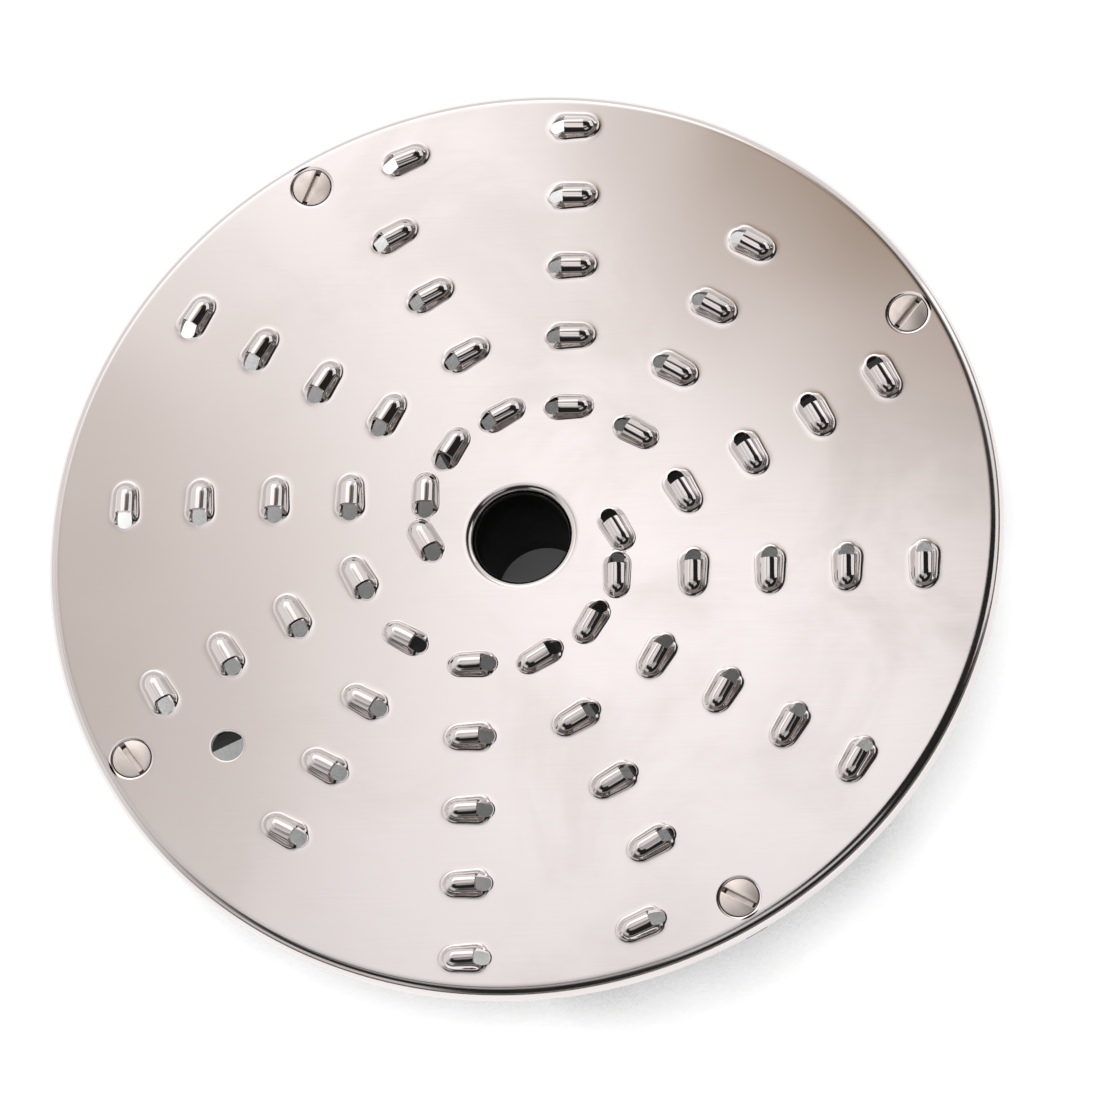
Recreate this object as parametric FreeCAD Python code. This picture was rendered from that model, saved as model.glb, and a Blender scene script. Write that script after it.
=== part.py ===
"""Grating disc of a vegetable cutter: a stamped steel plate screwed to a moulded plastic support.

Millimetres. The origin is on the bore's axis at the lower end of the hub, +Z points up through the teeth, and
the disc stands on its hub.
"""
import FreeCAD
import Part

import math
import os

from FreeCAD import Vector

# Plate
DISC_DIAMETER = 190.0
SHEET = 0.8
RIM_BEND = 2.25
RIM_HEIGHT = 3.6
LIP_BORE = 19.0
LIP_BEND = 1.7
LIP_DEPTH = 2.2

# Teeth: straight rows, set beside the radial line, each row a step further out than the one before it
ROW_COUNT = 12
ROWS_IN_SPIRAL = 6
FIRST_ROW = 2
FIRST_TOOTH = 16.7
TOOTH_PITCH = 15.1
ROW_OFFSET = 9.25
TOOTH_TO_EDGE = 7.0

# One tooth: an arched hood with a rounded tail, over a hole that opens in front of its cutting edge
HOLE_WIDTH = 3.4
HOOD_LENGTH = 6.5
HOOD_HEIGHT = 2.3
COLLAR_HEIGHT = 0.55

# How finely the bends and the teeth are laid in flats: the sheet's two bends, and one tooth's arch and tail
OUTER_RINGS = 2
INNER_RINGS = 1
HOOD_FLATS = 6
HOLLOW_FLATS = 4
HOLE_FLATS = 5
OUTER_LEANS = (38.0, 68.0)
INNER_LEANS = (52.0,)
HOLE_TO_CENTRE = 2.0

# Screws, M4 with slotted countersunk heads
SCREW_ANGLES = (30.0, 120.0, 210.0, 300.0)
SLOT_ANGLES = (52.0, 68.0, -54.0, -29.0)
SCREW_TO_EDGE = 6.9
SCREW_DIAMETER = 4.0
SCREW_LENGTH = 10.0
HEAD_DIAMETER = 7.6
SLOT_WIDTH = 1.0
SLOT_DEPTH = 0.9
SCREW_CLEARANCE = 0.05
TOOTH_TO_SCREW = 12.0
TOOTH_SIDE_STEP = 6.7

# Small plain hole
PEEP_DIAMETER = 6.4
PEEP_RADIUS = 71.0
PEEP_ANGLE = 216.25

# Support
SUPPORT_HEIGHT = 31.2
HUB_DIAMETER = 30.0
BORE = 18.6
DRIVE_SLOT_WIDTH = 6.0
DRIVE_SLOT_DEPTH = 7.0
ARM_WIDTH = 9.6
ARM_DEPTH_AT_HUB = 18.5
ARM_DEPTH_AT_TIP = 4.0
ARM_WALL = 2.4
ARM_WEB = 3.0
BLOCK_DEPTH = 10.0
ARM_BEVEL = 2.5
ARM_TO_RIM = 0.25

PLATE_TOP = SUPPORT_HEIGHT + SHEET
SCREW_RADIUS = DISC_DIAMETER / 2 - SCREW_TO_EDGE
TOOTH_REACH = DISC_DIAMETER / 2 - TOOTH_TO_EDGE
HOLE_RADIUS = HOLE_WIDTH / 2
HOOD_RADIUS = HOLE_RADIUS + SHEET
TAIL_START = HOOD_LENGTH - HOLE_TO_CENTRE - HOOD_RADIUS
ARCH_MIDDLE = PLATE_TOP + HOOD_HEIGHT - HOOD_RADIUS
UP = Vector(0, 0, 1)
ORIGIN = Vector(0, 0, 0)
REACH_PAST = 1.0


def turned(shape, degrees):
    """A copy of the shape, turned about the disc's axis."""
    copy = shape.copy()
    copy.rotate(ORIGIN, UP, degrees)
    return copy


def line_edge(start, end):
    """A straight edge in the XZ plane between two (x, z) points."""
    return Part.LineSegment(Vector(start[0], 0, start[1]), Vector(end[0], 0, end[1])).toShape()


def revolved(corners):
    """The solid that a closed outline of (x, z) corners sweeps about the disc's axis."""
    edges = [line_edge(start, end) for start, end in zip(corners, corners[1:] + corners[:1])]
    return Part.Face(Part.Wire(edges)).revolve(ORIGIN, UP, 360)


def bend_corners(centre, radius, start, end, rings):
    """The corners of a bend, laid in straight rings from one angle to the other, as (x, z)."""
    angles = [math.radians(start + (end - start) * k / rings) for k in range(rings + 1)]
    return [(centre[0] + radius * math.cos(angle), centre[1] + radius * math.sin(angle)) for angle in angles]


def sheet_disc():
    """The plain plate: flat, with its rim turned down and the edge of its centre hole drawn down."""
    rim = DISC_DIAMETER / 2
    rim_centre = (rim - RIM_BEND, PLATE_TOP - RIM_BEND)
    rim_end = PLATE_TOP - RIM_HEIGHT
    lip = LIP_BORE / 2
    lip_centre = (lip + LIP_BEND, PLATE_TOP - LIP_BEND)
    lip_end = PLATE_TOP - LIP_DEPTH
    corners = bend_corners(rim_centre, RIM_BEND, 90, 0, OUTER_RINGS)
    corners += [(rim, rim_end), (rim - SHEET, rim_end)]
    corners += bend_corners(rim_centre, RIM_BEND - SHEET, 0, 90, INNER_RINGS)
    corners += bend_corners(lip_centre, LIP_BEND - SHEET, 90, 180, INNER_RINGS)
    corners += [(lip + SHEET, lip_end), (lip, lip_end)]
    corners += bend_corners(lip_centre, LIP_BEND, 180, 90, OUTER_RINGS)
    return revolved(corners)


def skinned(sections):
    """The solid with flat faces between like outlines that follow each other, each a list of points."""
    faces = [Part.Face(Part.makePolygon(outline + outline[:1])) for outline in (sections[0], sections[-1])]
    for one, other in zip(sections, sections[1:]):
        for k in range(len(one)):
            corners = [one[k - 1], one[k], other[k], other[k - 1]]
            faces.append(Part.Face(Part.makePolygon(corners + corners[:1])))
    return Part.Solid(Part.Shell(faces))


def hood_section(x, half, floor, flats):
    """The outline across a hood: an arch of flats on straight legs that reach down to a level floor."""
    angles = [math.pi * k / flats for k in range(flats + 1)]
    arch = [Vector(x, -half * math.cos(angle), ARCH_MIDDLE + half * math.sin(angle)) for angle in angles]
    return [Vector(x, -half, floor)] + arch + [Vector(x, half, floor)]


def hood(radius, floor, flats, leans):
    """A hood's outside or its hollow, from its mouth to its tail, which rounds inwards lean by lean."""
    sections = [hood_section(-HOLE_TO_CENTRE, radius, floor, flats)]
    for lean in (0.0,) + leans:
        angle = math.radians(lean)
        sections.append(hood_section(TAIL_START + radius * math.sin(angle), radius * math.cos(angle), floor, flats))
    return skinned(sections)


def half_round(radius, height):
    """A level half circle in flats, round the front of a tooth's hole."""
    angles = [math.pi / 2 + math.pi * k / HOLE_FLATS for k in range(HOLE_FLATS + 1)]
    return [Vector(radius * math.cos(angle) - HOLE_TO_CENTRE, radius * math.sin(angle), height) for angle in angles]


def tooth_outside():
    """What one tooth adds above the plate: the hood and the low collar round the front of its hole."""
    floor = PLATE_TOP - SHEET / 2
    spread = SHEET * (PLATE_TOP - floor) / COLLAR_HEIGHT
    collar = skinned([half_round(HOOD_RADIUS + spread, floor), half_round(HOLE_RADIUS, PLATE_TOP + COLLAR_HEIGHT)])
    return hood(HOOD_RADIUS, floor, HOOD_FLATS, OUTER_LEANS).fuse(collar)


def tooth_hollow():
    """What one tooth takes out: the hollow of its hood, open below, and the half-round hole ahead of it."""
    floor = PLATE_TOP - SHEET - REACH_PAST
    well = skinned([half_round(HOLE_RADIUS, floor), half_round(HOLE_RADIUS, PLATE_TOP + HOOD_HEIGHT)])
    return hood(HOLE_RADIUS, floor, HOLLOW_FLATS, INNER_LEANS).fuse(well)


def on_circle(radius, degrees):
    """A point on a circle about the disc's axis, on the plane z = 0."""
    angle = math.radians(degrees)
    return Vector(radius * math.cos(angle), radius * math.sin(angle), 0)


def tooth_places():
    """Each tooth as its distance out along its row and the turn of its row, in degrees."""
    step = TOOTH_PITCH / ROWS_IN_SPIRAL
    screws = [on_circle(SCREW_RADIUS, angle) for angle in SCREW_ANGLES]
    places = []
    for row in range(ROW_COUNT):
        turn = -row * 360.0 / ROW_COUNT
        out = FIRST_TOOTH + step * ((row - FIRST_ROW) % ROWS_IN_SPIRAL)
        while out <= TOOTH_REACH:
            centre = turned(Part.Vertex(ROW_OFFSET, out, 0), turn).Point
            nearest = min(centre.distanceToPoint(screw) for screw in screws)
            side_step = TOOTH_SIDE_STEP if nearest < TOOTH_TO_SCREW else 0.0
            places.append((out, turn - side_step))
            out += TOOTH_PITCH
    return places


def set_in_plate(tooth_shape):
    """A copy of one tooth's shape at every place."""
    copies = []
    for out, turn in tooth_places():
        copy = tooth_shape.copy()
        copy.translate(Vector(ROW_OFFSET, out, 0))
        copies.append(turned(copy, turn))
    return copies


def screw_seat(depth):
    """The hole that a screw stands in, on the disc's axis: clear of the screw all round."""
    shank = SCREW_DIAMETER / 2 + SCREW_CLEARANCE
    mouth = HEAD_DIAMETER / 2 + SCREW_CLEARANCE + REACH_PAST
    cone = Part.makeCone(shank, mouth, mouth - shank, Vector(0, 0, PLATE_TOP + REACH_PAST - mouth + shank))
    hole = Part.makeCylinder(shank, depth, Vector(0, 0, PLATE_TOP - depth))
    return cone.fuse(hole).removeSplitter()


def at_screws(shape):
    """A copy of a shape from the disc's axis on the axis of every screw."""
    copies = []
    for angle in SCREW_ANGLES:
        copy = shape.copy()
        copy.translate(Vector(SCREW_RADIUS, 0, 0))
        copies.append(turned(copy, angle))
    return copies


def grating_plate():
    """The stamped sheet with its teeth, screw holes and small plain hole."""
    plate = sheet_disc().fuse(set_in_plate(tooth_outside()))
    under = PLATE_TOP - SHEET - REACH_PAST
    peep = Part.makeCylinder(PEEP_DIAMETER / 2, SHEET + 2 * REACH_PAST, Vector(PEEP_RADIUS, 0, under))
    seats = at_screws(screw_seat(SHEET + REACH_PAST))
    return plate.cut(set_in_plate(tooth_hollow()) + seats + [turned(peep, PEEP_ANGLE)])


def hub():
    """The hub, whose top carries the plate's drawn lip, with its bore and the drive slot across its lower end."""
    height = PLATE_TOP - LIP_DEPTH
    radius = HUB_DIAMETER / 2
    bore = Part.makeCylinder(BORE / 2, height)
    slot = Part.makeBox(HUB_DIAMETER, DRIVE_SLOT_WIDTH, DRIVE_SLOT_DEPTH, Vector(-radius, -DRIVE_SLOT_WIDTH / 2, 0))
    return Part.makeCylinder(radius, height).cut([bore, slot])


def arm():
    """One arm: a channel, open below, that grows shallower outwards and ends in a solid block for its screw."""
    top = SUPPORT_HEIGHT
    root = HUB_DIAMETER / 2 - ARM_WALL
    end = DISC_DIAMETER / 2 - RIM_BEND - ARM_TO_RIM
    block = SCREW_RADIUS - HEAD_DIAMETER / 2 - ARM_WALL
    half = ARM_WIDTH / 2
    shoulder = end - ARM_BEVEL
    plan = [Vector(root, -half, top), Vector(shoulder, -half, top), Vector(end, ARM_BEVEL - half, top),
            Vector(end, half - ARM_BEVEL, top), Vector(shoulder, half, top), Vector(root, half, top)]
    bar = Part.Face(Part.makePolygon(plan + plan[:1])).extrude(UP * -ARM_DEPTH_AT_HUB)
    under = [Vector(root, -half, top - ARM_DEPTH_AT_HUB), Vector(block, -half, top - ARM_DEPTH_AT_TIP),
             Vector(block, -half, top - BLOCK_DEPTH), Vector(end, -half, top - BLOCK_DEPTH),
             Vector(end, -half, top - ARM_DEPTH_AT_HUB)]
    below = Part.Face(Part.makePolygon(under + under[:1])).extrude(Vector(0, ARM_WIDTH, 0))
    start = HUB_DIAMETER / 2
    channel = Part.makeBox(block - start, ARM_WIDTH - 2 * ARM_WALL, ARM_DEPTH_AT_HUB,
                           Vector(start, ARM_WALL - half, top - ARM_WEB - ARM_DEPTH_AT_HUB))
    return bar.cut([below, channel])


def disc_support():
    """The moulded support: hub and four arms."""
    arms = [turned(arm(), angle) for angle in SCREW_ANGLES]
    body = hub().fuse(arms)
    holes = at_screws(screw_seat(SHEET + BLOCK_DEPTH + REACH_PAST))
    return body.cut(holes).removeSplitter()


def screw(slot_angle):
    """One screw on the disc's axis, its head level with the plate's top."""
    head = HEAD_DIAMETER / 2
    shank = SCREW_DIAMETER / 2
    tip = PLATE_TOP - SCREW_LENGTH
    body = revolved([(0, PLATE_TOP), (head, PLATE_TOP), (shank, PLATE_TOP - head + shank), (shank, tip), (0, tip)])
    slot = Part.makeBox(HEAD_DIAMETER, SLOT_WIDTH, SLOT_DEPTH + REACH_PAST,
                        Vector(-head, -SLOT_WIDTH / 2, PLATE_TOP - SLOT_DEPTH))
    return body.cut(turned(slot, slot_angle))


def plate_screws():
    """The four screws in their places, each with its slot at its own angle to the disc's X axis."""
    bodies = []
    for angle, slot_angle in zip(SCREW_ANGLES, SLOT_ANGLES):
        body = screw(slot_angle - angle)
        body.translate(Vector(SCREW_RADIUS, 0, 0))
        bodies.append(turned(body, angle))
    return Part.makeCompound(bodies)


os.makedirs("parts", exist_ok=True)
nodes = {"grating_plate": grating_plate(), "disc_support": disc_support(), "plate_screws": plate_screws()}
for name, shape in nodes.items():
    shape.exportStep("parts/%s.step" % name)
    print(name, shape.isValid(), len(shape.Solids), "solids,", round(shape.Volume / 1000, 2), "cm3,",
          len(shape.Faces), "faces")
print(len(tooth_places()), "teeth")
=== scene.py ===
# %% [markdown]
# # A grating disc in polished steel
# The part is the grating disc of a vegetable cutter: a stamped steel plate with rows of raised teeth, held by
# four slotted screws on a black plastic support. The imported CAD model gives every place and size. This script
# dresses it: the plate and the screws are modelled again with rounder forms, and everything gets its finish.

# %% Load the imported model
import math

import bmesh
import bpy
from mathutils import Matrix, Vector


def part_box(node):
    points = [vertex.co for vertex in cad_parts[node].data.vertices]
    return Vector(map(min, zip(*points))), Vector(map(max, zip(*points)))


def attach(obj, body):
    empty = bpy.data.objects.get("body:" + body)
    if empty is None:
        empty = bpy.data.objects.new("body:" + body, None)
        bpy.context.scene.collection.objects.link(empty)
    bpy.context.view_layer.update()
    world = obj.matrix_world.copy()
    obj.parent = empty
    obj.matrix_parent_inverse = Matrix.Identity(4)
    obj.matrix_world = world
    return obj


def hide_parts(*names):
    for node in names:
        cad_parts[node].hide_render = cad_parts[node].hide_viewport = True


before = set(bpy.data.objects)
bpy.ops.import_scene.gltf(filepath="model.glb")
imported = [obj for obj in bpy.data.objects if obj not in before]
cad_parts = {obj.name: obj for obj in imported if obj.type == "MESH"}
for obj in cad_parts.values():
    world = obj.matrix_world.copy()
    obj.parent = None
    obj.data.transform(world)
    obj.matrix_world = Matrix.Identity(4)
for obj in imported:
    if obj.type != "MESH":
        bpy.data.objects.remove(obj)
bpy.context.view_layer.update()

print("CAD nodes:", sorted(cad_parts))

# %% [markdown]
# Sizes are easier to read in millimetres, and Blender works in metres here, so every mesh is modelled in
# millimetres and scaled once, when it becomes an object. The height and the radius come from the CAD plate's
# own box. The CAD circle has corners, and its narrowest side gives a radius that keeps the new rim inside it.

# %% Sizes of the plate
MM = 0.001
TAU = 2 * math.pi
low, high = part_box("grating_plate")
RIM_RADIUS = -low.x / MM
TOOTH_HEIGHT = 2.3
PLATE_TOP = round(high.z / MM, 2) - TOOTH_HEIGHT
SHEET = 0.8
UNDER = PLATE_TOP - SHEET
NEAR = 0.001
print("plate radius", round(RIM_RADIUS, 3), "mm, top at", round(PLATE_TOP, 2), "mm")

# %% [markdown]
# A piece is finished when it has its mesh and its body to ride on, and the CAD node that it stands for is
# hidden. One helper does this for every piece, and each gets its material later. Edges sharper than the given
# angle stay crisp.

# %% A helper that turns a bmesh into a piece
def make_piece(name, bm, node, sharp_from=35):
    """The bmesh, in millimetres, becomes an object that rides on the part and stands for a CAD node."""
    bmesh.ops.scale(bm, vec=(MM, MM, MM), verts=bm.verts)
    mesh = bpy.data.meshes.new(name)
    bm.to_mesh(mesh)
    bm.free()
    mesh.shade_smooth()
    mesh.set_sharp_from_angle(angle=math.radians(sharp_from))
    piece = bpy.data.objects.new(name, mesh)
    bpy.context.scene.collection.objects.link(piece)
    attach(piece, "root")
    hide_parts(node)
    print(name, len(mesh.polygons), "faces")
    return piece

# %% [markdown]
# ## The tooth
# Each tooth is pressed out of the flat sheet: an arched hood that stands over a hole, with a straight cutting
# edge at its mouth and a rounded tail. Its flanks run on beside the hole and come down to a low collar round
# the hole's front, so that the whole tooth is one oval. A boolean of a capsule would leave a hard line at the
# foot, where the real sheet flows into the plate. So the tooth's outside is written as a height over the
# plate: an arch that ends in a hollow curve at its foot, a low collar round the hole's front, and a slight
# swelling all round. It fades to nothing before the outline of the tooth's own patch of sheet.

# %% The height of the sheet round one tooth
HOLE_RADIUS = 1.6
HOLE_REACH = 3.0
MOUTH_X = -2.0
TAIL_X = 2.0
TAIL_TAPER = 0.02
HOOD_RADIUS = 2.5
HOOD_FALL = 0.04
FLANK_RUN = 2.3
COLLAR_HEIGHT = 0.06
COLLAR_WIDTH = 0.5
SWELL = 0.12
SWELL_END = 0.94
FADE_START = 0.84
FADE_WIDTH = 0.14
MOUTH_PULL = 0.45
ARCH_MIDDLE = TOOTH_HEIGHT - SWELL - HOOD_RADIUS


def ease(value):
    """0 below 0, 1 above 1, and a smooth step between them."""
    value = min(max(value, 0.0), 1.0)
    return value * value * (3 - 2 * value)


def arch_height(off, foot):
    """The hood's height at a distance off its spine. A hollow curve of radius foot ends it on the plate."""
    middle = math.sqrt((HOOD_RADIUS + foot) ** 2 - (foot - ARCH_MIDDLE) ** 2)
    if off < HOOD_RADIUS * middle / (HOOD_RADIUS + foot):
        return ARCH_MIDDLE + math.sqrt(HOOD_RADIUS ** 2 - off ** 2)
    if off < middle:
        return foot - math.sqrt(foot ** 2 - (middle - off) ** 2)
    return 0.0


def patch_share(x, y, side, front):
    """How far a spot is from the tooth's spine: 0 on it and 1 on the outline of its patch."""
    past_tail = max(x - TAIL_X, 0.0) / side
    past_mouth = min(x - MOUTH_X, 0.0) / front
    return math.sqrt(past_tail ** 2 + past_mouth ** 2 + (y / side) ** 2)


def tooth_height(x, y, side, front, foot):
    """The outside's height over the plate: x runs from mouth to tail and y across."""
    ahead = min(x - MOUTH_X, 0.0)
    behind = max(x - MOUTH_X, 0.0)
    across = y * (1 + TAIL_TAPER * behind)
    off_spine = math.hypot(max(x - TAIL_X, 0.0), across, MOUTH_PULL * ahead)
    hood = arch_height(off_spine, foot) * (1 - HOOD_FALL * behind)
    hood *= ease(1 + ahead / FLANK_RUN)
    off_hole = math.hypot(max(HOLE_RADIUS - HOLE_REACH - ahead, 0.0), y) - HOLE_RADIUS
    collar = COLLAR_HEIGHT * (1 - ease(off_hole / COLLAR_WIDTH))
    collar *= ease(-ahead / FLANK_RUN)
    share = patch_share(x, y, side, front)
    swell = SWELL * max(1 - (share / SWELL_END) ** 2, 0.0) ** 2
    return (hood + collar + swell) * (1 - ease((share - FADE_START) / FADE_WIDTH))


print("the hood of a tooth is", 2 * HOOD_RADIUS, "mm wide over its arch")

# %% [markdown]
# The mesh of a tooth grows from its outside edge inwards. An oval ring of vertices on the flat plate is
# extruded ring by ring up to the edge of the hole, round that edge, and back out along the underside, one
# sheet's thickness below. Every vertex remembers its place round the ring in a layer, which extrusion
# copies, so each new ring is put in place by that number. The rings follow the hole's own D shape, so the
# cutting edge is a clean straight line. A third of the way in, a ring follows the hood's foot, so the foot
# is an even curve as well. The teeth nearest the middle stand close together and have a tighter patch.

# %% Grow one tooth ring by ring
ACROSS_EDGE = 34
ROUND_FRONT = 24
AROUND = ACROSS_EDGE + ROUND_FRONT
FOOT_SIDE = 2.72
FOOT_FRONT = 3.45
FOOT_SHARE = 0.35
TOP_RINGS = (0.09, 0.17, 0.24, 0.3, 0.35, 0.385, 0.425, 0.47, 0.52, 0.58, 0.65, 0.73, 0.82, 0.91, 1.0)
UNDER_RINGS = (1.0, 0.8, 0.6, 0.45, 0.35, 0.2, 0.0)
SLOPE_STEP = 0.02
TIGHT_PATCH = {"side": 3.05, "front": 3.65, "foot": 0.6}
WIDE_PATCH = {"side": 4.1, "front": 4.5, "foot": 0.9}


def hole_point(k):
    """A point on the edge of the hole: along the cutting edge first, then round the front."""
    if k <= ACROSS_EDGE:
        reach = math.asin(HOLE_RADIUS / HOOD_RADIUS)
        return Vector((MOUTH_X, HOOD_RADIUS * math.sin(reach * (2 * k / ACROSS_EDGE - 1))))
    straight = HOLE_REACH - HOLE_RADIUS
    half = straight + math.pi / 2 * HOLE_RADIUS
    along = half * (1 - 2 * (k - ACROSS_EDGE) / ROUND_FRONT)
    bend = max((half - straight - abs(along)) / HOLE_RADIUS, 0.0)
    ahead = straight + HOLE_RADIUS * math.sin(bend) if bend else half - abs(along)
    return Vector((MOUTH_X - ahead, math.copysign(HOLE_RADIUS * math.cos(bend), along)))


def outline_point(k, side, front):
    """A point on the patch's long round outline, opposite the hole point of the same number."""
    if k > ACROSS_EDGE:
        angle = math.pi * (0.5 + (k - ACROSS_EDGE) / ROUND_FRONT)
        return Vector((MOUTH_X + front * math.cos(angle), side * math.sin(angle)))
    straight = TAIL_X - MOUTH_X
    half = straight + math.pi / 2 * side
    along = half * (2 * k / ACROSS_EDGE - 1)
    bend = max(half - abs(along) - straight, 0.0) / side
    x = TAIL_X + side * math.sin(bend) if bend else MOUTH_X + half - abs(along)
    return Vector((x, math.copysign(side * math.cos(bend), along)))


def sheet_point(k, share, side, front, foot, below):
    """A point of the sheet: a share of the way from outline to hole, and a distance below the outside."""
    tooth_foot = outline_point(k, FOOT_SIDE, FOOT_FRONT)
    if share < FOOT_SHARE:
        spot = outline_point(k, side, front).lerp(tooth_foot, share / FOOT_SHARE)
    else:
        spot = tooth_foot.lerp(hole_point(k), (share - FOOT_SHARE) / (1 - FOOT_SHARE))
    height = tooth_height(spot.x, spot.y, side, front, foot)
    point = Vector((spot.x, spot.y, PLATE_TOP + height))
    if below:
        slope_x = (tooth_height(spot.x + SLOPE_STEP, spot.y, side, front, foot) - height) / SLOPE_STEP
        slope_y = (tooth_height(spot.x, spot.y + SLOPE_STEP, side, front, foot) - height) / SLOPE_STEP
        point -= below * Vector((-slope_x, -slope_y, 1)).normalized()
    return point


def grow_ring(bm, edges, place, put):
    """Extrude a ring of edges and put each new vertex where its place says."""
    grown = bmesh.ops.extrude_edge_only(bm, edges=edges)["geom"]
    verts = {item for item in grown if isinstance(item, bmesh.types.BMVert)}
    for vert in verts:
        vert.co = put(vert[place])
    return [edge for edge in bm.edges if edge.verts[0] in verts and edge.verts[1] in verts]


def tooth_mesh(side, front, foot):
    """One tooth with its patch of sheet, as a mesh in millimetres about its own middle."""
    bm = bmesh.new()
    place = bm.verts.layers.int.new("place")
    ring = bmesh.ops.create_circle(bm, cap_ends=False, segments=AROUND, radius=side)["verts"]
    for k, vert in enumerate(ring):
        vert[place] = k
        vert.co = sheet_point(k, 0.0, side, front, foot, 0.0)
    edges = list(bm.edges)
    for share in TOP_RINGS:
        edges = grow_ring(bm, edges, place, lambda k: sheet_point(k, share, side, front, foot, 0.0))
    for share in UNDER_RINGS:
        edges = grow_ring(bm, edges, place, lambda k: sheet_point(k, share, side, front, foot, SHEET))
    mesh = bpy.data.meshes.new("tooth")
    bm.to_mesh(mesh)
    bm.free()
    return mesh


tight_tooth = tooth_mesh(**TIGHT_PATCH)
wide_tooth = tooth_mesh(**WIDE_PATCH)
print("one tooth has", len(tight_tooth.polygons), "faces")

# %% [markdown]
# ## The plate
# Twelve straight rows of teeth stand beside the radial lines. From each row to the next the teeth sit a
# sixth of their pitch further out, so together they sweep the whole plate. Where a screw is in the way, a
# tooth is turned aside. The same rule as in the CAD source gives the places here.

# %% Where the teeth stand
ROWS = 12
ROWS_IN_SPIRAL = 6
SPIRAL_START = 2
FIRST_TOOTH = 16.7
TOOTH_PITCH = 15.1
ROW_OFFSET = 9.25
TOOTH_REACH = 88.0
SCREW_RADIUS = 88.1
SCREW_ANGLES = (30, 120, 210, 300)
TOOTH_TO_SCREW = 12.0
SIDE_STEP = 6.7


def on_circle(radius, degrees, height=0.0):
    """A point on a circle about the disc's axis."""
    angle = math.radians(degrees)
    return Vector((radius * math.cos(angle), radius * math.sin(angle), height))


def turn(degrees):
    """A turn about the disc's axis."""
    return Matrix.Rotation(math.radians(degrees), 4, "Z")


screw_spots = [on_circle(SCREW_RADIUS, angle) for angle in SCREW_ANGLES]
tooth_places = []
for row in range(ROWS):
    out = FIRST_TOOTH + TOOTH_PITCH / ROWS_IN_SPIRAL * ((row - SPIRAL_START) % ROWS_IN_SPIRAL)
    first = True
    while out <= TOOTH_REACH:
        place = turn(-360 / ROWS * row) @ Matrix.Translation((ROW_OFFSET, out, 0))
        if min((place.translation - spot).length for spot in screw_spots) < TOOTH_TO_SCREW:
            place = turn(-SIDE_STEP) @ place
        tooth_places.append((place, first))
        first = False
        out += TOOTH_PITCH
print(len(tooth_places), "teeth")

# %% [markdown]
# The rim and the lip of the centre hole are the same sheet, bent down. Their profile is a short wire of
# vertices, spun round the axis. The wire starts and ends on the flat, a little inside the bend, so that the
# bend's shading stays out of the flat. The screw holes and the small plain hole are rings extruded down.

# %% Spin the rim and the lip
RIM_BEND = 2.25
RIM_HEIGHT = 3.6
LIP_RADIUS = 9.5
LIP_BEND = 1.7
LIP_DEPTH = 2.2
RIM_NOSE = 0.25
LIP_NOSE = 0.2
RIM_FLAT = 0.4
LIP_FLAT = 0.6
BEND_STEPS = 8
NOSE_STEPS = 3
RIM_STEPS = 288
LIP_STEPS = 96


def arc(middle_x, middle_z, radius, start, end, steps):
    """Points along an arc in the XZ plane, angles in degrees."""
    angles = [math.radians(start + (end - start) * k / steps) for k in range(steps + 1)]
    return [Vector((middle_x + radius * math.cos(a), 0, middle_z + radius * math.sin(a))) for a in angles]


def spin_wire(bm, points, steps):
    """Spin an open wire of points round the disc's axis."""
    verts = [bmesh.ops.create_vert(bm, co=point)["vert"][0] for point in points]
    edges = [bm.edges.new(pair) for pair in zip(verts, verts[1:])]
    bmesh.ops.spin(bm, geom=verts + edges, cent=(0, 0, 0), axis=(0, 0, 1), dvec=(0, 0, 0), angle=TAU,
                   steps=steps, use_merge=True, use_normal_flip=False, use_duplicate=False)


def rim_wire():
    """The rim's profile, from the flat's top round to its underside."""
    middle = RIM_RADIUS - RIM_BEND
    nose_z = PLATE_TOP - RIM_HEIGHT + RIM_NOSE
    wire = [Vector((middle - RIM_FLAT, 0, PLATE_TOP))]
    wire += arc(middle, PLATE_TOP - RIM_BEND, RIM_BEND, 90, 0, BEND_STEPS)
    wire += arc(RIM_RADIUS - RIM_NOSE, nose_z, RIM_NOSE, 0, -90, NOSE_STEPS)
    wire += arc(RIM_RADIUS - SHEET + RIM_NOSE, nose_z, RIM_NOSE, -90, -180, NOSE_STEPS)
    wire += arc(middle, PLATE_TOP - RIM_BEND, RIM_BEND - SHEET, 0, 90, BEND_STEPS)
    return wire + [Vector((middle - RIM_FLAT, 0, UNDER))]


def lip_wire():
    """The drawn lip's profile, from the flat's top round to its underside."""
    middle = LIP_RADIUS + LIP_BEND
    nose_z = PLATE_TOP - LIP_DEPTH + LIP_NOSE
    wire = [Vector((middle + LIP_FLAT, 0, PLATE_TOP))]
    wire += arc(middle, PLATE_TOP - LIP_BEND, LIP_BEND, 90, 180, BEND_STEPS)
    wire += arc(LIP_RADIUS + LIP_NOSE, nose_z, LIP_NOSE, 180, 270, NOSE_STEPS)
    wire += arc(LIP_RADIUS + SHEET - LIP_NOSE, nose_z, LIP_NOSE, 270, 360, NOSE_STEPS)
    wire += arc(middle, PLATE_TOP - LIP_BEND, LIP_BEND - SHEET, 180, 90, BEND_STEPS)
    return wire + [Vector((middle + LIP_FLAT, 0, UNDER))]


plate = bmesh.new()
spin_wire(plate, rim_wire(), RIM_STEPS)
spin_wire(plate, lip_wire(), LIP_STEPS)
print("rim and lip:", len(plate.faces), "faces")

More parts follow.
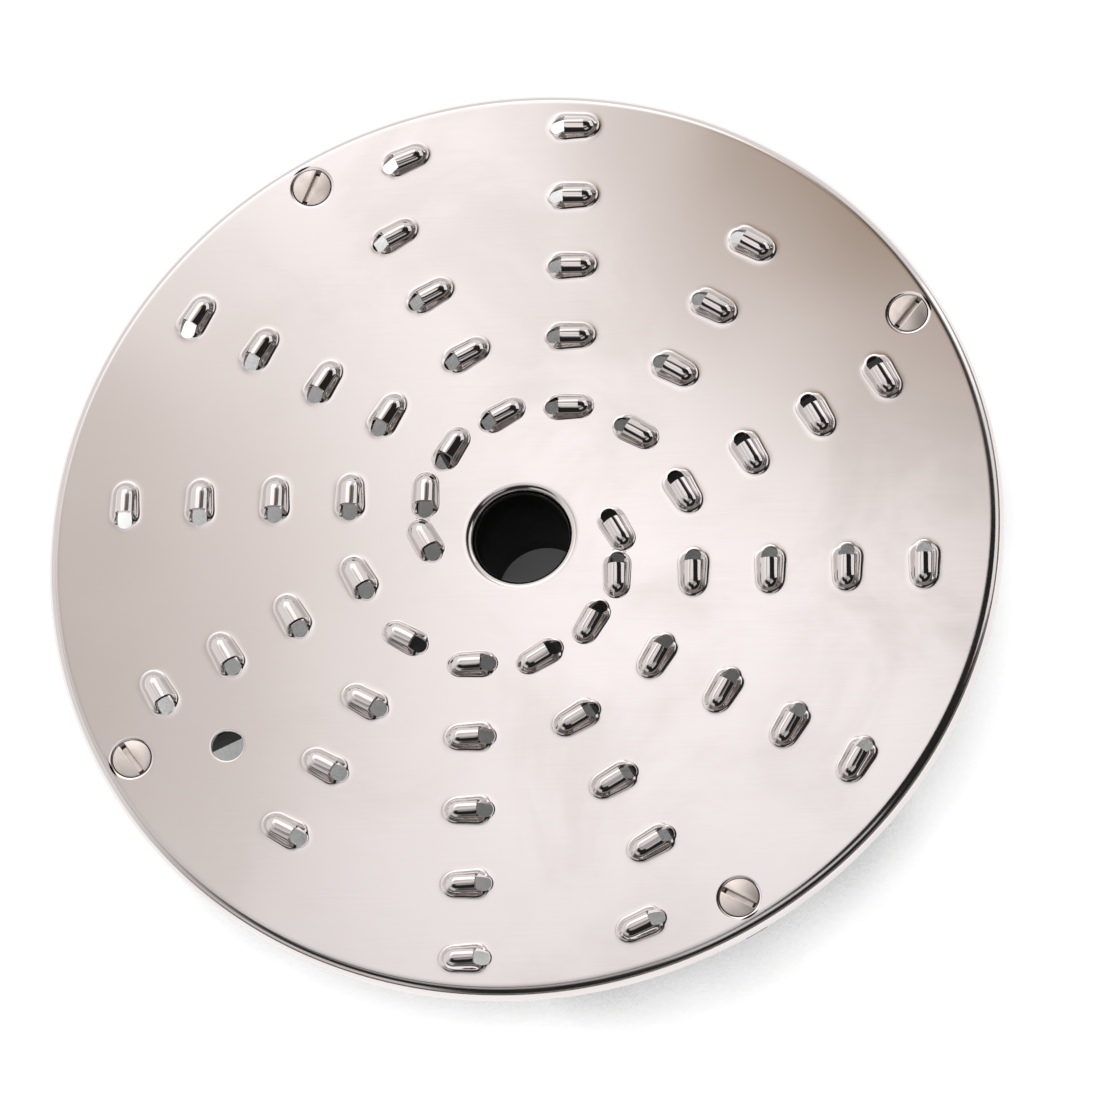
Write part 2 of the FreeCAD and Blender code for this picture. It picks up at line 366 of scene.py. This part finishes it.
# %% Set in the teeth and the plain holes
PEEP_RADIUS = 3.2
PEEP_SPOT = on_circle(71.0, 216.25)
HEAD_RADIUS = 3.8
SEAT_RADIUS = HEAD_RADIUS + 0.15
SEAT_FALL = 0.25
HOLE_STEPS = 48
SEAT_PROFILE = [(SEAT_RADIUS + 0.7, PLATE_TOP), (SEAT_RADIUS + 0.55, PLATE_TOP),
                (SEAT_RADIUS + 0.3, PLATE_TOP - 0.03), (SEAT_RADIUS + 0.08, PLATE_TOP - 0.12),
                (SEAT_RADIUS, PLATE_TOP - SEAT_FALL), (SEAT_RADIUS - 0.55, UNDER)]
PEEP_PROFILE = [(PEEP_RADIUS + 0.5, PLATE_TOP), (PEEP_RADIUS + 0.15, PLATE_TOP),
                (PEEP_RADIUS + 0.04, PLATE_TOP - 0.04), (PEEP_RADIUS, PLATE_TOP - 0.15),
                (PEEP_RADIUS, UNDER)]


def add_mesh(bm, mesh, matrix):
    """Add a copy of a mesh to the bmesh, in its place."""
    before = len(bm.verts)
    bm.from_mesh(mesh)
    bm.verts.ensure_lookup_table()
    bmesh.ops.transform(bm, matrix=matrix, verts=bm.verts[before:])


def add_hole(bm, spot, profile):
    """A round hole: a ring that steps through (radius, height) pairs from the top to the underside."""
    first_radius, first_height = profile[0]
    matrix = Matrix.Translation((spot.x, spot.y, first_height))
    ring = bmesh.ops.create_circle(bm, cap_ends=False, segments=HOLE_STEPS, radius=first_radius,
                                   matrix=matrix)
    edges = list({edge for vert in ring["verts"] for edge in vert.link_edges})
    radius = first_radius
    for next_radius, height in profile[1:]:
        grown = bmesh.ops.extrude_edge_only(bm, edges=edges)["geom"]
        verts = {item for item in grown if isinstance(item, bmesh.types.BMVert)}
        for vert in verts:
            vert.co = Vector((spot.x + (vert.co.x - spot.x) * next_radius / radius,
                              spot.y + (vert.co.y - spot.y) * next_radius / radius, height))
        edges = [edge for edge in bm.edges if edge.verts[0] in verts and edge.verts[1] in verts]
        radius = next_radius


for place, tight in tooth_places:
    add_mesh(plate, tight_tooth if tight else wide_tooth, place)
for spot in screw_spots:
    add_hole(plate, spot, SEAT_PROFILE)
add_hole(plate, PEEP_SPOT, PEEP_PROFILE)
print("with teeth and holes:", len(plate.faces), "faces")

# %% [markdown]
# What is left is the flat itself, between the rim, the lip and every hole. All those shapes end in open rings
# on two levels, the top and the underside, and a triangle fill closes each level in one go. The fill sorts
# its vertices along Y, where the straight rows of teeth tie, so the plate is turned out of line meanwhile.

# %% Fill the flat between them
FILL_TURN = 75
bmesh.ops.rotate(plate, cent=(0, 0, 0), matrix=turn(FILL_TURN), verts=plate.verts)
for level in (PLATE_TOP, UNDER):
    rings = [edge for edge in plate.edges if edge.is_boundary
             and all(abs(vert.co.z - level) < NEAR for vert in edge.verts)]
    bmesh.ops.triangle_fill(plate, use_beauty=True, use_dissolve=False, edges=rings, normal=(0, 0, 1))
    print("filled level", round(level, 2), "between", len(rings), "edges")
bmesh.ops.rotate(plate, cent=(0, 0, 0), matrix=turn(-FILL_TURN), verts=plate.verts)
bmesh.ops.recalc_face_normals(plate, faces=plate.faces)
print("open edges left:", sum(1 for edge in plate.edges if not edge.is_manifold))
grating_plate = make_piece("plate_of_pressed_steel", plate, "grating_plate")

# %% [markdown]
# ## The screws
# Four countersunk slotted screws hold the plate, their heads level with it. A screw is a profile spun round
# its axis. Two cuts beside the middle and one below the head's face mark out the slot. What lies between them
# is deleted, and the walls and the floor of the slot are filled in. A small bevel takes the sharpness off the
# head's face. Each screw keeps its own flat coordinates in a UV map, so that the lathe marks can run round
# its axis.

# %% Sizes of a screw
SHANK_RADIUS = 2.0
SCREW_LENGTH = 10.0
HEAD_WALL = 0.25
TIP_CHAMFER = 0.5
SLOT_WIDTH = 1.0
SLOT_DEPTH = 0.9
SLOT_ANGLES = (52, 68, -54, -29)
SCREW_STEPS = 64


# %% Model one screw
def screw_body():
    """A countersunk screw on the Z axis with its head's face at PLATE_TOP."""
    bm = bmesh.new()
    tip = PLATE_TOP - SCREW_LENGTH
    profile = [(0, PLATE_TOP), (HEAD_RADIUS, PLATE_TOP), (HEAD_RADIUS, PLATE_TOP - HEAD_WALL),
               (SHANK_RADIUS, PLATE_TOP - HEAD_RADIUS + SHANK_RADIUS), (SHANK_RADIUS, tip + TIP_CHAMFER),
               (SHANK_RADIUS - TIP_CHAMFER, tip), (0, tip)]
    spin_wire(bm, [Vector((x, 0, z)) for x, z in profile], SCREW_STEPS)
    bmesh.ops.remove_doubles(bm, verts=bm.verts, dist=0.0001)
    return bm


def cut_slot(bm):
    """Cut the slot along X into the head's face."""
    half = SLOT_WIDTH / 2
    floor_level = PLATE_TOP - SLOT_DEPTH
    for point, direction in (((0, half, 0), (0, 1, 0)), ((0, -half, 0), (0, 1, 0)),
                             ((0, 0, floor_level), (0, 0, 1))):
        everything = bm.verts[:] + bm.edges[:] + bm.faces[:]
        bmesh.ops.bisect_plane(bm, geom=everything, dist=0.00001, plane_co=point, plane_no=direction)
    between = []
    for face in bm.faces:
        middle = face.calc_center_median()
        if abs(middle.y) < half and middle.z > floor_level:
            between.append(face)
    bmesh.ops.delete(bm, geom=between, context="FACES")
    for y in (half, -half):
        corners = [vert for vert in bm.verts if vert.is_boundary
                   and abs(vert.co.y - y) < NEAR and abs(vert.co.z - floor_level) < NEAR]
        bm.edges.new(corners)
        wall = [edge for edge in bm.edges if len(edge.link_faces) < 2
                and all(abs(vert.co.y - y) < NEAR for vert in edge.verts)]
        bmesh.ops.triangle_fill(bm, use_beauty=True, use_dissolve=False, edges=wall, normal=(0, 1, 0))
    foot = [edge for edge in bm.edges if len(edge.link_faces) < 2]
    bmesh.ops.triangle_fill(bm, use_beauty=True, use_dissolve=False, edges=foot, normal=(0, 0, 1))
    bmesh.ops.dissolve_limit(bm, angle_limit=math.radians(1), verts=bm.verts, edges=bm.edges)
    bmesh.ops.recalc_face_normals(bm, faces=bm.faces)


# %% Put the four screws in their places
HEAD_EDGE = 0.18
SHARP = math.radians(40)
one_screw = screw_body()
cut_slot(one_screw)
face_edges = [edge for edge in one_screw.edges if edge.calc_face_angle(0) > SHARP
              and all(abs(vert.co.z - PLATE_TOP) < NEAR for vert in edge.verts)]
bmesh.ops.bevel(one_screw, geom=face_edges, offset=HEAD_EDGE, segments=2, profile=0.5, affect="EDGES",
                material=-1)
uv = one_screw.loops.layers.uv.new("own_place")
for face in one_screw.faces:
    for loop in face.loops:
        loop[uv].uv = loop.vert.co.xy
screw_mesh = bpy.data.meshes.new("screw")
one_screw.to_mesh(screw_mesh)
one_screw.free()
screws = bmesh.new()
for spot, slot_angle in zip(screw_spots, SLOT_ANGLES):
    add_mesh(screws, screw_mesh, Matrix.Translation(spot) @ turn(slot_angle))
print("open edges on the screws:", sum(1 for edge in screws.edges if not edge.is_manifold))
plate_screws = make_piece("slotted_screws", screws, "plate_screws", sharp_from=30)

# %% [markdown]
# ## The support
# The black hub with its four arms is one moulded piece. The CAD solid has the right form but knife-sharp
# edges, and a moulding has none. So a copy of its mesh is merged, its flats become single faces again, and a
# bevel rounds every outside and inside edge a little.

# %% Round the edges of the moulded support
MOULD_EDGE = 0.35
support = bmesh.new()
support.from_mesh(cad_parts["disc_support"].data)
bmesh.ops.scale(support, vec=(1 / MM, 1 / MM, 1 / MM), verts=support.verts)
bmesh.ops.remove_doubles(support, verts=support.verts, dist=NEAR)
bmesh.ops.dissolve_limit(support, angle_limit=math.radians(0.5), verts=support.verts, edges=support.edges)
bmesh.ops.recalc_face_normals(support, faces=support.faces)
corners = [edge for edge in support.edges if edge.calc_face_angle(0) > SHARP]
bmesh.ops.bevel(support, geom=corners, offset=MOULD_EDGE, segments=2, profile=0.5, affect="EDGES",
                material=-1, clamp_overlap=True)
print("open edges on the support:", sum(1 for edge in support.edges if not edge.is_manifold))
disc_support = make_piece("moulded_support", support, "disc_support", sharp_from=30)

# %% [markdown]
# ## The finishes
# Three things cover the disc: bright rolled steel, turned screw heads and black moulded plastic. Rolled sheet
# is never quite flat or quite clean. It is slightly wavy, it has a fine line from the polishing belt, and
# handling leaves soft smudges. Both metals share one node group for that, with their own sizes. It gives a
# tone, a roughness and a height, and the shader itself stays in each material.

# %% A helper for node groups
def new_group(name, inputs, outputs):
    """A shader node group with named sockets, its entry and its exit."""
    group = bpy.data.node_groups.new(name, "ShaderNodeTree")
    for label, kind, value in inputs:
        socket = group.interface.new_socket(name=label, in_out="INPUT", socket_type=kind)
        if value is not None:
            socket.default_value = value
    for label, kind in outputs:
        group.interface.new_socket(name=label, in_out="OUTPUT", socket_type=kind)
    return group, group.nodes.new("NodeGroupInput"), group.nodes.new("NodeGroupOutput")


def add_node(tree, kind, settings=None, **values):
    """A node with its settings, and plain values on its named sockets."""
    node = tree.nodes.new(kind)
    for key, value in (settings or {}).items():
        setattr(node, key, value)
    for label, value in values.items():
        node.inputs[label.replace("_", " ")].default_value = value
    return node


def spread(tree, source, low_in, high_in, low_out, high_out):
    """Map a value from one range to another along a smooth step."""
    node = add_node(tree, "ShaderNodeMapRange", {"interpolation_type": "SMOOTHSTEP"})
    for index, value in enumerate((low_in, high_in, low_out, high_out)):
        node.inputs[index + 1].default_value = value
    tree.links.new(source, node.inputs[0])
    return node.outputs[0]


def combine(tree, operation, first, second):
    """Two values through one math operation. Either may be a plain number."""
    node = add_node(tree, "ShaderNodeMath", {"operation": operation})
    for socket, value in zip(node.inputs, (first, second)):
        if isinstance(value, (int, float)):
            socket.default_value = value
        else:
            tree.links.new(value, socket)
    return node.outputs[0]


# %% The finish that both metals share
FLOAT = "NodeSocketFloat"
VECTOR = "NodeSocketVector"
metal_finish, entry, leave = new_group(
    "metal_finish",
    [("Place", VECTOR, None), ("Line Place", VECTOR, None), ("Wave Size", FLOAT, 22.0),
     ("Smudge Size", FLOAT, 60.0), ("Line Size", FLOAT, 900.0), ("Line Share", FLOAT, 0.3)],
    [("Tone", FLOAT), ("Roughness", FLOAT), ("Height", FLOAT)])
waves = add_node(metal_finish, "ShaderNodeTexNoise", Detail=1.0, Roughness=0.4)
smudges = add_node(metal_finish, "ShaderNodeTexNoise", Detail=4.0, Roughness=0.6, Distortion=0.4)
lines = add_node(metal_finish, "ShaderNodeTexNoise", Detail=2.0, Roughness=0.7)
link = metal_finish.links.new
link(entry.outputs["Place"], waves.inputs["Vector"])
link(entry.outputs["Wave Size"], waves.inputs["Scale"])
link(entry.outputs["Place"], smudges.inputs["Vector"])
link(entry.outputs["Smudge Size"], smudges.inputs["Scale"])
link(entry.outputs["Line Place"], lines.inputs["Vector"])
link(entry.outputs["Line Size"], lines.inputs["Scale"])
smudge_mask = spread(metal_finish, smudges.outputs[0], 0.42, 0.72, 0.0, 1.0)
line_mask = combine(metal_finish, "MULTIPLY", lines.outputs[0], entry.outputs["Line Share"])
link(combine(metal_finish, "ADD", combine(metal_finish, "MULTIPLY", smudge_mask, 0.55), line_mask),
     leave.inputs["Tone"])
link(combine(metal_finish, "ADD", smudge_mask, line_mask), leave.inputs["Roughness"])
link(combine(metal_finish, "ADD", waves.outputs[0], combine(metal_finish, "MULTIPLY", line_mask, 0.002)),
     leave.inputs["Height"])
print("metal finish:", len(metal_finish.nodes), "nodes")

# %% A helper for materials
def new_material(name, colour, metallic, roughness):
    """A material with the numbers that are the same all over, its tree and its shader."""
    material = bpy.data.materials.new(name)
    material.use_nodes = True
    material.diffuse_color = (*colour, 1)
    shader = material.node_tree.nodes["Principled BSDF"]
    shader.inputs["Base Color"].default_value = (*colour, 1)
    shader.inputs["Metallic"].default_value = metallic
    shader.inputs["Roughness"].default_value = roughness
    return material, material.node_tree, shader


def blend_colours(tree, factor, light, dark):
    """A colour between two, by a factor."""
    node = add_node(tree, "ShaderNodeMix", {"data_type": "RGBA"})
    node.inputs[6].default_value = (*light, 1)
    node.inputs[7].default_value = (*dark, 1)
    tree.links.new(factor, node.inputs[0])
    return node.outputs[2]


def add_bump(tree, shader, height, distance):
    """A bump of a given depth in metres on the shader's normal."""
    bump = add_node(tree, "ShaderNodeBump", Strength=1.0, Distance=distance)
    tree.links.new(height, bump.inputs["Height"])
    tree.links.new(bump.outputs["Normal"], shader.inputs["Normal"])


# %% [markdown]
# The plate's steel is a light warm grey. The belt lines run nearly along X, so their coordinates are drawn
# out that way. The teeth were pressed after polishing and are smoother than the flat, so height over the
# plate lowers the roughness. The waves are a fraction of a millimetre deep over several centimetres.

# %% Polished steel for the plate
STEEL_LIGHT = (0.74, 0.7, 0.695)
STEEL_DULL = (0.62, 0.565, 0.54)
TOOTH_SHINE = 0.45
steel, tree, shader = new_material("plate_steel", STEEL_LIGHT, 1.0, 0.2)
place = add_node(tree, "ShaderNodeTexCoord")
drawn_out = add_node(tree, "ShaderNodeMapping", Scale=(0.03, 1.0, 1.0), Rotation=(0, 0, 0.3))
finish = add_node(tree, "ShaderNodeGroup", {"node_tree": metal_finish}, Wave_Size=18.0, Smudge_Size=26.0,
                  Line_Size=2600.0, Line_Share=0.35)
tree.links.new(place.outputs["Object"], drawn_out.inputs["Vector"])
tree.links.new(place.outputs["Object"], finish.inputs["Place"])
tree.links.new(drawn_out.outputs["Vector"], finish.inputs["Line Place"])
axes = add_node(tree, "ShaderNodeSeparateXYZ")
tree.links.new(place.outputs["Object"], axes.inputs["Vector"])
raised = spread(tree, axes.outputs["Z"], (PLATE_TOP + 0.2) * MM, (PLATE_TOP + 0.8) * MM, 1.0, TOOTH_SHINE)
rough = combine(tree, "ADD", combine(tree, "MULTIPLY", finish.outputs["Roughness"], 0.07), 0.11)
tree.links.new(combine(tree, "MULTIPLY", rough, raised), shader.inputs["Roughness"])
dullness = combine(tree, "MULTIPLY", finish.outputs["Tone"], 0.5)
tree.links.new(blend_colours(tree, dullness, STEEL_LIGHT, STEEL_DULL), shader.inputs["Base Color"])
add_bump(tree, shader, finish.outputs["Height"], 0.0004)
grating_plate.data.materials.append(steel)
print("plate steel:", len(tree.nodes), "nodes")

# %% Turned steel for the screws
SCREW_LIGHT = (0.8, 0.735, 0.7)
SCREW_DULL = (0.68, 0.6, 0.55)
screw_steel, tree, shader = new_material("screw_steel", (0.7, 0.66, 0.64), 1.0, 0.24)
place = add_node(tree, "ShaderNodeTexCoord")
own_place = add_node(tree, "ShaderNodeUVMap", {"uv_map": "own_place"})
from_axis = add_node(tree, "ShaderNodeVectorMath", {"operation": "LENGTH"})
tree.links.new(own_place.outputs["UV"], from_axis.inputs[0])
rings = add_node(tree, "ShaderNodeCombineXYZ")
tree.links.new(from_axis.outputs["Value"], rings.inputs["X"])
finish = add_node(tree, "ShaderNodeGroup", {"node_tree": metal_finish}, Wave_Size=60.0, Smudge_Size=240.0,
                  Line_Size=5.0, Line_Share=0.6)
tree.links.new(place.outputs["Object"], finish.inputs["Place"])
tree.links.new(rings.outputs["Vector"], finish.inputs["Line Place"])
tree.links.new(combine(tree, "ADD", combine(tree, "MULTIPLY", finish.outputs["Roughness"], 0.1), 0.34),
               shader.inputs["Roughness"])
tree.links.new(blend_colours(tree, finish.outputs["Tone"], SCREW_LIGHT, SCREW_DULL),
               shader.inputs["Base Color"])
add_bump(tree, shader, finish.outputs["Height"], 0.00003)
plate_screws.data.materials.append(screw_steel)
print("screw steel:", len(tree.nodes), "nodes")

# %% [markdown]
# The support is black nylon from a spark-eroded mould: a fine even grain, a little greyer where it has been
# rubbed and dusty. The grain is a noise of half a millimetre, and the rubbing a larger one.

# %% Black plastic for the support
BLACK_NEW = (0.006, 0.0055, 0.005)
BLACK_RUBBED = (0.02, 0.018, 0.016)
mould_grain, entry, leave = new_group("mould_grain", [("Place", VECTOR, None), ("Grain Size", FLOAT, 1800.0)],
                                      [("Tone", FLOAT), ("Roughness", FLOAT), ("Height", FLOAT)])
grain = add_node(mould_grain, "ShaderNodeTexNoise", Detail=2.0, Roughness=0.6)
rubbed = add_node(mould_grain, "ShaderNodeTexNoise", Scale=45.0, Detail=5.0, Roughness=0.65)
mould_grain.links.new(entry.outputs["Place"], grain.inputs["Vector"])
mould_grain.links.new(entry.outputs["Grain Size"], grain.inputs["Scale"])
mould_grain.links.new(entry.outputs["Place"], rubbed.inputs["Vector"])
rub_mask = spread(mould_grain, rubbed.outputs[0], 0.45, 0.75, 0.0, 1.0)
mould_grain.links.new(rub_mask, leave.inputs["Tone"])
mould_grain.links.new(combine(mould_grain, "ADD", combine(mould_grain, "MULTIPLY", rub_mask, -0.12), 0.5),
                      leave.inputs["Roughness"])
mould_grain.links.new(grain.outputs[0], leave.inputs["Height"])
plastic, tree, shader = new_material("support_plastic", (0.012, 0.011, 0.01), 0.0, 0.5)
shader.inputs["Specular IOR Level"].default_value = 0.3
place = add_node(tree, "ShaderNodeTexCoord")
moulded = add_node(tree, "ShaderNodeGroup", {"node_tree": mould_grain}, Grain_Size=1800.0)
tree.links.new(place.outputs["Object"], moulded.inputs["Place"])
tree.links.new(blend_colours(tree, moulded.outputs["Tone"], BLACK_NEW, BLACK_RUBBED),
               shader.inputs["Base Color"])
tree.links.new(moulded.outputs["Roughness"], shader.inputs["Roughness"])
add_bump(tree, shader, moulded.outputs["Height"], 0.00004)
disc_support.data.materials.append(plastic)
print("support plastic:", len(tree.nodes), "nodes")

# %% [markdown]
# ## The stage
# A wide pale floor lies under the part. Its white comes partly from a glow that only the camera, mirrors and
# glass see. That glow fades where the disc is close over the floor, which paints a shadow under the disc, also
# where the floor shows through the holes. The camera stands nearly straight above, 1.6 m away, at the
# photograph's own angle.

# %% Floor
FLOOR_SIZE = 6.0
FLOOR_GREY = (0.3, 0.3, 0.3)
FLOOR_GLOW = 1.0
SHADOW_REACH = 0.045
floor_mesh = bpy.data.meshes.new("floor")
bm = bmesh.new()
bmesh.ops.create_grid(bm, x_segments=1, y_segments=1, size=FLOOR_SIZE)
bm.to_mesh(floor_mesh)
bm.free()
floor = bpy.data.objects.new("floor", floor_mesh)
bpy.context.scene.collection.objects.link(floor)
floor_white, tree, shader = new_material("floor_white", FLOOR_GREY, 0.0, 0.85)
path = add_node(tree, "ShaderNodeLightPath")
seen = combine(tree, "MAXIMUM", path.outputs["Is Camera Ray"], path.outputs["Is Glossy Ray"])
seen = combine(tree, "MAXIMUM", seen, path.outputs["Is Transmission Ray"])
open_sky = add_node(tree, "ShaderNodeAmbientOcclusion", {"samples": 8}, Distance=SHADOW_REACH)
# The glow follows the ambient occlusion, so the floor under the disc gets a painted shadow.
painted_shadow_fade = spread(tree, open_sky.outputs["AO"], 0.46, 0.74, 0.04, 1.0)
glow = combine(tree, "MULTIPLY", combine(tree, "MULTIPLY", seen, painted_shadow_fade), FLOOR_GLOW)
tree.links.new(glow, shader.inputs["Emission Strength"])
shader.inputs["Emission Color"].default_value = (1, 1, 1, 1)
floor.data.materials.append(floor_white)
print("floor", 2 * FLOOR_SIZE, "m wide")

# %% Camera
AIM = Vector((5.85, -3.4, 32.0)) * MM
CAMERA_SPOT = Vector((235.5, -567.2, 1502.0)) * MM
CAMERA_RIGHT = Vector((0.98892663, 0.01909822, -0.14717122))
LENS = 265.2
SENSOR = 36
camera_data = bpy.data.cameras.new("camera")
camera_data.lens = LENS
camera_data.sensor_width = SENSOR
camera_data.clip_end = 50
camera = bpy.data.objects.new("camera", camera_data)
bpy.context.scene.collection.objects.link(camera)
backwards = (CAMERA_SPOT - AIM).normalized()
right = (CAMERA_RIGHT - backwards * CAMERA_RIGHT.dot(backwards)).normalized()
up = backwards.cross(right)
camera.matrix_world = Matrix.Translation(CAMERA_SPOT) @ Matrix((right, up, backwards)).transposed().to_4x4()
bpy.context.scene.camera = camera
print("camera", round((CAMERA_SPOT - AIM).length, 3), "m away")

# %% [markdown]
# Polished steel shows its surroundings, so the light is built as those. A wide softbox hangs close over the
# disc, brightest in its middle and dimmer and warmer in three soft spots, as real cloth is. A second one
# stands on the right and a small one at the front right. A low lamp reaches in under the disc and lights the
# floor that is seen through the holes. No mirror shows that lamp.

# %% Softboxes
ABOVE = PLATE_TOP * MM


def softbox(name, centre, towards, size, level):
    """A rectangular soft light. Its level is the brightness of its face, where 1 is white."""
    data = bpy.data.lights.new(name, "AREA")
    data.shape = "RECTANGLE"
    data.size, data.size_y = size
    data.energy = level * math.pi * size[0] * size[1]
    lamp = bpy.data.objects.new(name, data)
    bpy.context.scene.collection.objects.link(lamp)
    ray = Vector(towards) - Vector(centre)
    lamp.matrix_world = Matrix.Translation(centre) @ ray.to_track_quat("-Z", "Y").to_matrix().to_4x4()
    lamp.visible_camera = False
    return lamp


def dim_spot(tree, place, centre, reach, depth):
    """A factor that falls from 1 to 1 - depth within a distance of a spot on the lamp."""
    distance = add_node(tree, "ShaderNodeVectorMath", {"operation": "DISTANCE"})
    distance.inputs[1].default_value = centre
    tree.links.new(place, distance.inputs[0])
    return spread(tree, distance.outputs["Value"], reach * 0.2, reach, 1 - depth, 1.0)


BOX_HEIGHT = 0.55
BOX_TOP = ABOVE + BOX_HEIGHT
BOX_X = -0.21
BOX_Y = 0.39
CLOTH_DIM = (0.25, 0.18, 0.115)
CLOTH_LIGHT = (1.0, 0.98, 0.985)
DIM_SPOTS = (((0.04, 0.345), 0.17, 1.0), ((-0.245, 0.2), 0.19, 0.6), ((0.09, 0.22), 0.09, 0.4))
overhead = softbox("overhead_softbox", (BOX_X, BOX_Y, BOX_TOP), (BOX_X, BOX_Y, 0), (0.58, 1.02), 1.3)
overhead.data.use_nodes = True
tree = overhead.data.node_tree
spot = add_node(tree, "ShaderNodeNewGeometry")
cloth = 1.0
for centre, reach, depth in DIM_SPOTS:
    dimmed = dim_spot(tree, spot.outputs["Position"], (*centre, BOX_TOP), reach, depth)
    cloth = combine(tree, "MULTIPLY", cloth, dimmed)
cloth_colour = blend_colours(tree, cloth, CLOTH_DIM, CLOTH_LIGHT)
hot_middle = dim_spot(tree, spot.outputs["Position"], (-0.09, 0.32, BOX_TOP), 0.4, -0.9)
tree.links.new(cloth_colour, tree.nodes["Emission"].inputs["Color"])
tree.links.new(combine(tree, "MULTIPLY", hot_middle, 0.56), tree.nodes["Emission"].inputs["Strength"])
softbox("right_softbox", (0.69, 0.4, 0.47), (0, 0, 0.03), (0.75, 0.42), 1.0)
softbox("front_right_softbox", (0.26, -0.3, 0.53), (0, 0, 0.03), (0.34, 0.16), 0.6)
LOW_LIGHT_RAY = Vector((0.94, -0.1, -0.34))
under_light = bpy.data.objects.new("low_light", bpy.data.lights.new("low_light", "SUN"))
under_light.data.energy = 2.6
under_light.data.angle = math.radians(18)
under_light.visible_glossy = False
under_light.matrix_world = LOW_LIGHT_RAY.to_track_quat("-Z", "Y").to_matrix().to_4x4()
bpy.context.scene.collection.objects.link(under_light)
print("softboxes hang", BOX_HEIGHT, "m over the plate")

# %% [markdown]
# Round the softboxes lies the studio, which the teeth and the rim mirror. Its left and back are pale well up
# the wall and dark above. At the front left a pale stretch of wall stands at eye height, and a haze lies over
# the front, beside the softbox. A dim sweep runs all round near the ground, warmer away from the pale side.
# The rest is dark. That gives the teeth their white streaks, pale left flanks and black edges.

# %% The studio round the disc
PALE_DIRECTION = (-0.6, 0.8, 0.0)
PALE_LEVEL = 0.95
FRONT_LEVEL = 0.7
HAZE_LEVEL = 0.55
SWEEP_LEVEL = 0.28
NEUTRAL = (1.0, 0.985, 0.97)
WARM = (1.0, 0.88, 0.8)
world = bpy.data.worlds.new("studio")
world.use_nodes = True
bpy.context.scene.world = world
tree = world.node_tree
look = add_node(tree, "ShaderNodeTexCoord")
axes = add_node(tree, "ShaderNodeSeparateXYZ")
facing = add_node(tree, "ShaderNodeVectorMath", {"operation": "DOT_PRODUCT"})
facing.inputs[1].default_value = PALE_DIRECTION
tree.links.new(look.outputs["Generated"], facing.inputs[0])
tree.links.new(look.outputs["Generated"], axes.inputs["Vector"])
pale_side = spread(tree, facing.outputs["Value"], -0.05, 0.45, 0.0, 1.0)
pale_wall = spread(tree, axes.outputs["Z"], 0.66, 0.86, PALE_LEVEL, 0.04)
front_side = combine(tree, "MULTIPLY", spread(tree, axes.outputs["X"], -0.42, -0.24, 1.0, 0.0),
                     spread(tree, axes.outputs["Y"], -0.3, -0.1, 1.0, 0.0))
front_wall = combine(tree, "MULTIPLY", spread(tree, axes.outputs["Z"], 0.56, 0.66, FRONT_LEVEL, 0.0),
                     spread(tree, axes.outputs["Z"], 0.2, 0.32, 0.0, 1.0))
front_haze = combine(tree, "MULTIPLY", spread(tree, axes.outputs["Y"], -0.25, -0.05, HAZE_LEVEL, 0.0),
                     spread(tree, axes.outputs["Z"], 0.84, 0.94, 0.0, 1.0))
pale_sweep = combine(tree, "MULTIPLY", spread(tree, axes.outputs["Z"], 0.28, 0.36, SWEEP_LEVEL, 0.02),
                     spread(tree, axes.outputs["Z"], 0.1, 0.2, 0.3, 1.0))
studio_level = combine(tree, "MAXIMUM", combine(tree, "MULTIPLY", pale_side, pale_wall), pale_sweep)
studio_level = combine(tree, "MAXIMUM", combine(tree, "MULTIPLY", front_side, front_wall), studio_level)
studio_level = combine(tree, "MAXIMUM", front_haze, studio_level)
warmth = combine(tree, "MULTIPLY", spread(tree, axes.outputs["Z"], 0.15, 0.45, 1.0, 0.0),
                 spread(tree, facing.outputs["Value"], -0.3, 0.1, 1.0, 0.0))
tree.links.new(blend_colours(tree, warmth, NEUTRAL, WARM), tree.nodes["Background"].inputs["Color"])
tree.links.new(studio_level, tree.nodes["Background"].inputs["Strength"])
print("studio:", len(tree.nodes), "nodes")

# %% [markdown]
# Last, the view shows every colour as it is, without a film curve.

# %% Set the view
bpy.context.scene.view_settings.view_transform = "Standard"
